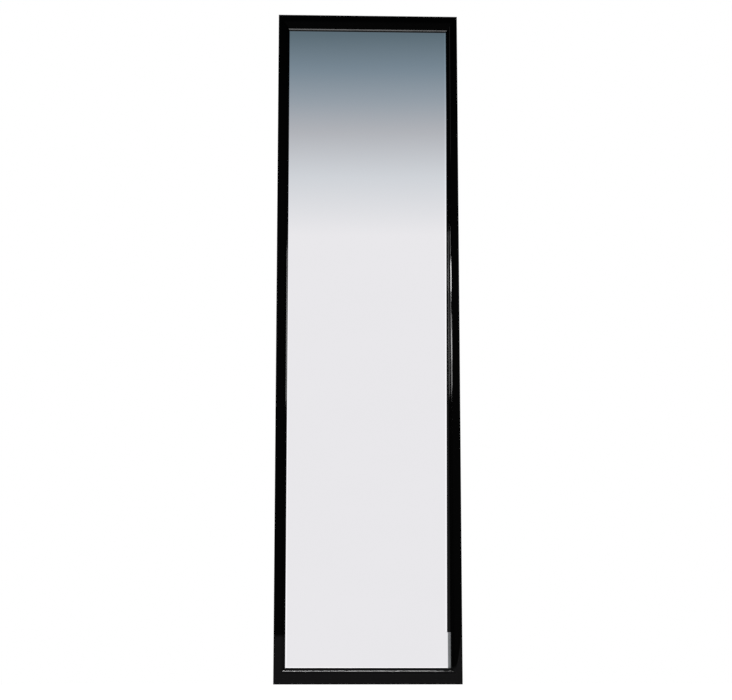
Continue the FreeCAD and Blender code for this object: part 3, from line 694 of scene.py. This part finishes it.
def bevelled_mirror():
    work = bmesh.new()
    rings = [glass_ring(work, insets, glass_low.y + drop) for insets, drop in
             ((bevel_start, 0), (bevel_split, bevel_drop), ([0] * 6, arris_drop))]
    rings.append(glass_ring(work, [0] * 6, glass_high.y))
    work.faces.new(rings[0]).material_index = flat_face
    for level, finishes in enumerate(facets):
        inner, outer = rings[level], rings[level + 1]
        for i, finish in enumerate(finishes):
            j = (i + 1) % len(finishes)
            work.faces.new((inner[i], inner[j], outer[j], outer[i])).material_index = finish
    work.faces.new(rings[3]).material_index = back_face
    bmesh.ops.recalc_face_normals(work, faces=work.faces)
    mesh = bpy.data.meshes.new("bevelled_mirror")
    work.to_mesh(mesh)
    work.free()
    for material in glass_finishes:
        mesh.materials.append(material)
    return linked("bevelled_mirror", mesh)


place_piece(bevelled_mirror(), "mirror", "mirror_glass", "mirror_glass")

# %% [markdown]
# ## Turned parts
# Screws, rivets and rubber buttons are all made as on a lathe: a short outline spun about an axis.
# The outline is a list of radius and height. Spinning leaves a seam and doubled poles, so doubles
# are merged afterwards.

# %% Lathe
def turned(name, outline, segments=28):
    work = bmesh.new()
    verts = [work.verts.new((radius, 0, height)) for radius, height in outline]
    edges = [work.edges.new(pair) for pair in zip(verts, verts[1:])]
    bmesh.ops.spin(work, geom=verts + edges, axis=(0, 0, 1), cent=(0, 0, 0), steps=segments,
                   angle=2 * math.pi)
    bmesh.ops.remove_doubles(work, verts=work.verts, dist=1e-7)
    bmesh.ops.recalc_face_normals(work, faces=work.faces)
    mesh = bpy.data.meshes.new(name)
    work.to_mesh(mesh)
    work.free()
    return linked(name, mesh)


print("lathe ready")

# %% [markdown]
# Screws lie flush in a countersink or stand on the surface with a domed head. Into either head goes
# the cross for a screwdriver. It is cut with a boolean: two crossed blocks that narrow with depth.

# %% Kinds of screw
screw_tip = 2.5 * mm
arm_share, floor_share, proud_share = 0.28, 0.55, 0.3
flush_bevel, dome_rim = 0.08, 0.45


def cross_recess(piece, reach, depth, top):
    """Cut the tapered cross for a screwdriver into the head."""
    work = bmesh.new()
    arm = reach * arm_share
    for across, along in ((reach, arm), (arm, reach)):
        for vert in bmesh.ops.create_cube(work, size=2.0)["verts"]:
            narrow = floor_share if vert.co.z < 0 else 1.0
            height = top + (depth * proud_share if vert.co.z > 0 else -depth)
            vert.co = Vector((vert.co.x * across * narrow, vert.co.y * along * narrow, height))
    mesh = bpy.data.meshes.new("cross")
    work.to_mesh(mesh)
    work.free()
    cross = linked("cross", mesh)
    cut = piece.modifiers.new("cross", "BOOLEAN")
    cut.object, cut.operation, cut.solver, cut.use_self = cross, "DIFFERENCE", "EXACT", True
    settle(piece)
    bpy.data.objects.remove(cross)
    return piece


def flush_screw(head, shank, length, drop):
    """A countersunk wood screw with its head level at height 0."""
    bevel = flush_bevel * head
    outline = [(0, 0), (head - bevel, 0), (head, -bevel), (shank, -drop), (shank, -length + screw_tip),
               (0, -length)]
    return cross_recess(turned("flush_screw", outline), reach=head * 0.62, depth=drop * 0.75, top=0)


def pan_screw(head, shank, length, height):
    """A screw with a domed head that stands on the surface at height 0."""
    angles = [math.radians(angle) for angle in range(0, 91, 15)]
    dome = [(head * math.sin(t), height * (dome_rim + (1 - dome_rim) * math.cos(t))) for t in angles]
    outline = dome + [(head, 0), (shank, 0), (shank, -length + screw_tip), (0, -length)]
    return cross_recess(turned("pan_screw", outline), reach=head * 0.55, depth=height * 0.6, top=height)


print("two kinds of screw ready")

# %% [markdown]
# ## Setting out what repeats
# The same fixing comes back many times, each turned by another chance angle, as a hand leaves it.
# One tree puts a pattern on every point of a mesh. The pattern stands on its own axis, so the tree
# tips it over first, and the random turn has a fixed seed.

# %% Geometry Nodes tree of fixings
def fixings():
    tree, given = new_tree("fixings", {"Pattern": "Object", "Tip": "Float", "Turn Axis": "Vector",
                                       "Seed": "Int", "Material": "Material"})
    pattern = add(tree, "GeometryNodeObjectInfo", {"Object": given["Pattern"]})
    chance = add(tree, "FunctionNodeRandomValue", {"Seed": given["Seed"]}, data_type="FLOAT")
    chance.inputs[3].default_value = 2 * math.pi      # the fourth input is a number's upper end
    spin = add(tree, "ShaderNodeVectorMath", {0: given["Turn Axis"], "Scale": chance.outputs[1]},
               operation="SCALE")
    tip = add(tree, "ShaderNodeCombineXYZ", {"X": given["Tip"]})
    turn = add(tree, "ShaderNodeVectorMath", {0: tip.outputs[0], 1: spin.outputs[0]}, operation="ADD")
    points = add(tree, "GeometryNodeMeshToPoints", {"Mesh": given["Geometry"]})
    placed = add(tree, "GeometryNodeInstanceOnPoints", {"Points": points.outputs[0],
                                                        "Instance": pattern.outputs["Geometry"],
                                                        "Rotation": turn.outputs[0]})
    return close_tree(tree, placed.outputs[0], given["Material"])


fixing_tree = fixings()
# how far a pattern is tipped over, and the axis that it then turns about
into_frame = (-math.pi / 2, (0.0, 1.0, 0.0))
towards_mirror = (math.pi / 2, (0.0, 1.0, 0.0))
upright = (0.0, (0.0, 0.0, 1.0))


def set_out(name, pattern, places, way, material, seed=1):
    mesh = bpy.data.meshes.new(name)
    mesh.from_pydata(places, [], [])
    tip, axis = way
    piece = grow(name, mesh, fixing_tree, {"Pattern": pattern, "Tip": tip, "Turn Axis": axis,
                                           "Seed": seed, "Material": material})
    bpy.data.objects.remove(pattern)
    return shade(piece)


def spaced(first, last, count):
    return [first + (last - first) * i / (count - 1) for i in range(count)]


print("tree", fixing_tree.name, "with", len(fixing_tree.nodes), "nodes")

# %% [markdown]
# The backing board is held by eighteen flush screws: eight along each stile, and one in the middle
# of each rail. Sixteen more hold the corner braces, and six domed ones hold the hinge's steel
# spine.

# %% Screws
board_screw_head, brace_screw_head, spine_screw_head = 2.4 * mm, 2.2 * mm, 3.2 * mm
low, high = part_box("backing_screws")
screw_x, screw_z = high.x - board_screw_head, high.z - board_screw_head
board_places = [(side * screw_x, high.y, level) for side in (1, -1)
                for level in spaced(-screw_z, screw_z, 8)]
board_places += [(0, high.y, side * screw_z) for side in (1, -1)]
board_screw = flush_screw(board_screw_head, shank=1.4 * mm, length=10 * mm, drop=1.5 * mm)
board_screws = set_out("board_screws", board_screw, board_places, into_frame, bright, 3)
place_piece(board_screws, "mirror", "plated_fasteners", "backing_screws")

brace_middle = brace_margin + brace_width / 2
brace_places = []
for share in (0.45, 0.85):
    along = brace_margin + brace_arm * share
    for side_x in (1, -1):
        for side_z in (1, -1):
            for x, z in ((brace_middle, along), (along, brace_middle)):
                brace_places.append((side_x * (half_width - x), frame_back, side_z * (half_height - z)))
brace_screw = flush_screw(brace_screw_head, shank=1.2 * mm, length=9 * mm, drop=1.2 * mm)
brace_screws = set_out("brace_screws", brace_screw, brace_places, into_frame, bright, 5)
place_piece(brace_screws, "mirror", "plated_fasteners", "corner_brace_screws")

low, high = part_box("spine_screws")
spine_thickness = 2 * mm
spine_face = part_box("hinge_spine")[0].y + spine_thickness
spine_places = [(high.x - spine_screw_head, spine_face, level)
                for level in spaced(low.z + spine_screw_head, high.z - spine_screw_head, 6)]
spine_screw = pan_screw(spine_screw_head, shank=1.75 * mm, length=14 * mm, height=2 * mm)
spine_screws = set_out("domed_spine_screws", spine_screw, spine_places, into_frame, bright, 7)
place_piece(spine_screws, "mirror", "plated_fasteners", "spine_screws")

# %% [markdown]
# Four rivets fix each post to the slides, two at each slide. A rubber button near each end of the
# rear post keeps the stowed mirror from knocking: it is snapped into the post by a barbed stem.

# %% Rivets and rest buttons
low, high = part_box("post_rivets")
rivet_head, post_thickness = 4 * mm, 1.5 * mm
sheet_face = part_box("front_post")[1].y - post_thickness
slide_level, rivet_offset = 352 * mm, 8 * mm
# radius and height in mm, from the dome over the stem to the upset end
rivet_outline = [(0, 1.5), (1.3, 1.45), (2.4, 1.2), (3.4, 0.7), (4.0, 0.15), (4.0, 0), (2.0, 0),
                 (2.0, -2.7), (3.2, -2.7), (3.2, -3.5), (2.9, -3.7), (0, -3.7)]
rivet = turned("rivet", [(radius * mm, height * mm) for radius, height in rivet_outline])
rivet_places = [(x, sheet_face, side * slide_level + offset)
                for x in (low.x + rivet_head, high.x - rivet_head)
                for side in (1, -1) for offset in (rivet_offset, -rivet_offset)]
rivets = set_out("domed_rivets", rivet, rivet_places, towards_mirror, bright, 11)
place_piece(rivets, "carriage", "plated_fasteners", "post_rivets")

low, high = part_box("rest_bumpers")
button_radius, button_height = 5 * mm, sheet_face - low.y
button_x, button_level = (low.x + high.x) / 2, high.z - button_radius
button_outline = [(0, button_height), (2.9 * mm, button_height),
                  (3.6 * mm, button_height - 0.25 * mm), (4.0 * mm, button_height - 0.9 * mm),
                  (button_radius, 2.0 * mm), (button_radius, 0.4 * mm),
                  (4.7 * mm, 0), (2.0 * mm, 0), (2.0 * mm, -1.5 * mm), (2.8 * mm, -1.5 * mm),
                  (1.2 * mm, -3.1 * mm), (0, -3.1 * mm)]
button_places = [(button_x, sheet_face, side * button_level) for side in (1, -1)]
buttons = set_out("rest_buttons", turned("button", button_outline, 36), button_places, towards_mirror,
                  rubber)
place_piece(buttons, "carriage", "rubber", "rest_bumpers")

# %% [markdown]
# The balls of the slides run in rows of eight, above and below, in two rings. Each row is eight
# points and each ball a small sphere, in one tree for all four sets.

# %% Balls
ball_radius, balls_in_row = 1.5875 * mm, 8
slides = ("upper", "lower")


def ball_rows(node):
    low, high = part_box(node)
    middle, levels = (low.y + high.y) / 2, (low.z + ball_radius, high.z - ball_radius)
    stations = spaced(low.x + ball_radius, high.x - ball_radius, balls_in_row)
    return [(x, middle, z) for x in stations for z in levels]


def ball():
    work = bmesh.new()
    bmesh.ops.create_icosphere(work, subdivisions=3, radius=ball_radius)
    mesh = bpy.data.meshes.new("ball")
    work.to_mesh(mesh)
    work.free()
    return linked("ball", mesh)


for slide in slides:
    for ring in ("outer", "inner"):
        node = f"{slide}_{ring}_balls"
        row = set_out(f"{slide}_{ring}_bearing_balls", ball(), ball_rows(node), upright, bearing)
        place_piece(row, ring + "_retainers", "bearing_steel", node)

# %% [markdown]
# ## Sheet steel with broken edges
# Posts, arms, braces and the hinge's spine are cut and bent from sheet, and every real cut edge is
# slightly broken, so it catches a thin line of light. So are the edges of bolts, nuts and stops.
# The node's own mesh is copied, its loose triangles are merged and flat areas joined, and a small
# bevel runs round the sharp edges.

# %% Softened copies of nodes
weld_distance = 2e-6
flat_angle, sharp_angle = math.radians(0.5), math.radians(40)


def softened(node, name, width, material):
    work = bmesh.new()
    work.from_mesh(nodes[node].data)
    bmesh.ops.remove_doubles(work, verts=work.verts, dist=weld_distance)
    bmesh.ops.dissolve_limit(work, angle_limit=flat_angle, verts=work.verts, edges=work.edges)
    mesh = bpy.data.meshes.new(name)
    work.to_mesh(mesh)
    work.free()
    mesh.materials.append(material)
    piece = linked(name, mesh)
    bevel = piece.modifiers.new("broken_edge", "BEVEL")
    bevel.width, bevel.segments = width, 2
    bevel.limit_method, bevel.angle_limit = "ANGLE", sharp_angle
    return shade(settle(piece))


# node, name, width of the broken edge in mm, finish, body and slot
sheet_parts = [
    ("front_post", "front_channel", 0.2, coat, "carriage", "black_steel"),
    ("rear_post", "rear_channel", 0.2, coat, "carriage", "black_steel"),
    ("upper_pivot_arm", "upper_arm", 0.3, coat, "carriage", "black_steel"),
    ("lower_pivot_arm", "lower_arm", 0.3, coat, "carriage", "black_steel"),
    ("hinge_spine", "spine_strip", 0.25, coat, "mirror", "black_steel"),
    ("corner_braces", "brace_plates", 0.12, bright, "mirror", "plated_fasteners"),
    ("upper_rear_stop", "upper_buffer", 0.2, nylon, "root", "nylon"),
    ("lower_rear_stop", "lower_buffer", 0.2, nylon, "root", "nylon"),
    ("stop_pins", "pins", 0.25, bright, "carriage", "plated_fasteners"),
    ("pivot_washers", "washers", 0.12, bright, "carriage", "plated_fasteners"),
    ("pivot_nuts", "nuts", 0.12, bright, "carriage", "plated_fasteners"),
    ("pivot_bolts", "bolts", 0.15, bright, "carriage", "plated_fasteners"),
]
for node, name, width, material, body, slot in sheet_parts:
    place_piece(softened(node, name, width * mm, material), body, slot, node)

# %% [markdown]
# ## Nodes that keep their own shape
# The rolled slide members, the flat sheets behind the glass and a few small plain parts are already
# right as they come, so they only get their finishes.

# %% Finishes on kept nodes
kept = {
    zinc: [f"{slide}_{member}_member" for slide in slides for member in ("outer", "middle", "inner")],
    strip_steel: [f"{slide}_{ring}_retainer" for slide in slides for ring in ("outer", "inner")],
    board: ["backing_board"],
    foam: ["foam_sheet"],
    film: ["safety_film"],
    rubber: ["setting_blocks"],
    nylon: ["pivot_bushes"],
    phosphate: ["disc_springs"],
}
for material, names in kept.items():
    for name in names:
        nodes[name].material_slots[0].material = material
print("finished", sum(len(names) for names in kept.values()), "nodes in place")

# %% [markdown]
# ## Lamps
# Two broad soft lamps model the steel parts from the front and from behind. They are gentle, and
# the world does most of the work.

# %% Soft lamps
def soft_lamp(name, place, aim, size, power):
    data = bpy.data.lights.new(name, "AREA")
    data.shape, data.size, data.size_y, data.energy = "RECTANGLE", size[0], size[1], power
    lamp = bpy.data.objects.new(name, data)
    lamp.location = place
    lamp.rotation_mode = "QUATERNION"
    lamp.rotation_quaternion = (Vector(aim) - Vector(place)).to_track_quat("-Z", "Y")
    lamp.visible_camera = False
    bpy.context.scene.collection.objects.link(lamp)
    return lamp


soft_lamp("front_lamp", (-1.9, -2.3, 1.9), (0, 0, 0), (1.4, 1.4), 32)
soft_lamp("rear_lamp", (1.6, 2.4, 1.6), (0, 0, 0), (1.4, 1.4), 30)
print("two soft lamps")

# %% [markdown]
# Black lacquer is drawn by what it mirrors, so each line of light on the moulding has a lamp of its
# own that lights one bar and nothing else. The moulding turns through many tilts, and a lamp in one
# direction shows as a line where the tilt is right. Lamps nearly ahead draw the thin lip beside the
# glass, and lamps far to the side or overhead draw the slope above it.

# %% Streak lamps
def streak_lamp(name, place, aim, size, radiance, receiver, half_beam=15):
    half = math.radians(half_beam)
    power = radiance * math.pi * size[0] * size[1] * (1 - half / math.tan(half))
    lamp = soft_lamp(name, place, aim, size, power)
    lamp.data.spread = 2 * half
    lamp.visible_diffuse = False
    chosen = bpy.data.collections.new(name)
    chosen.objects.link(bpy.data.objects[receiver])
    lamp.light_linking.receiver_collection = chosen
    return lamp


def upright_pane(name, receiver, from_x, angles, heights, radiance):
    """A pane that a stile sees between two angles from straight ahead, positive to the right.

    It is aimed at the height where the stile shows it to the viewer.
    """
    middle, half = math.radians(sum(angles) / 2), math.radians(abs(angles[1] - angles[0])) / 2
    aim = Vector((from_x, lip_y, 0))
    place = aim + Vector((math.sin(middle), -math.cos(middle), 0)) * pane_distance
    place.z = (heights[0] + heights[1]) / 2
    aim.z = (place.z * viewer_distance + eye.z * pane_distance) / (viewer_distance + pane_distance)
    size = (2 * pane_distance * math.tan(half), heights[1] - heights[0])
    streak_lamp(name, place, aim, size, radiance, receiver)


pane_distance, viewer_distance = 1.6, 3.2
lip_x, lip_y = half_width - stile_width, -0.044
streak_lamp("rail_panel", (0.05, -2.05, 1.949), (-0.03, -0.045, 0.585), (0.80, 0.13), 115, "top_rail")
streak_lamp("rail_strip", (0, -0.28, 0.95), (-0.04, -0.045, -0.58), (0.50, 0.44), 290, "bottom_rail", 35)
upright_pane("lip_pane", "leading_stile", lip_x, (23, 28), (0.134, 0.578), 60)
upright_pane("far_lip_pane", "trailing_stile", -lip_x, (-24, -19), (0.116, 0.530), 150)
upright_pane("upper_pane", "leading_stile", lip_x, (-72, -48), (0.419, 0.502), 950)
upright_pane("middle_pane", "leading_stile", lip_x, (-68, -42), (0.230, 0.311), 330)
upright_pane("lower_pane", "leading_stile", lip_x, (-68, -42), (0.155, 0.350), 240)
upright_pane("long_strip", "leading_stile", lip_x, (-82, -72), (0.134, 0.578), 190)
print("eight streak lamps")
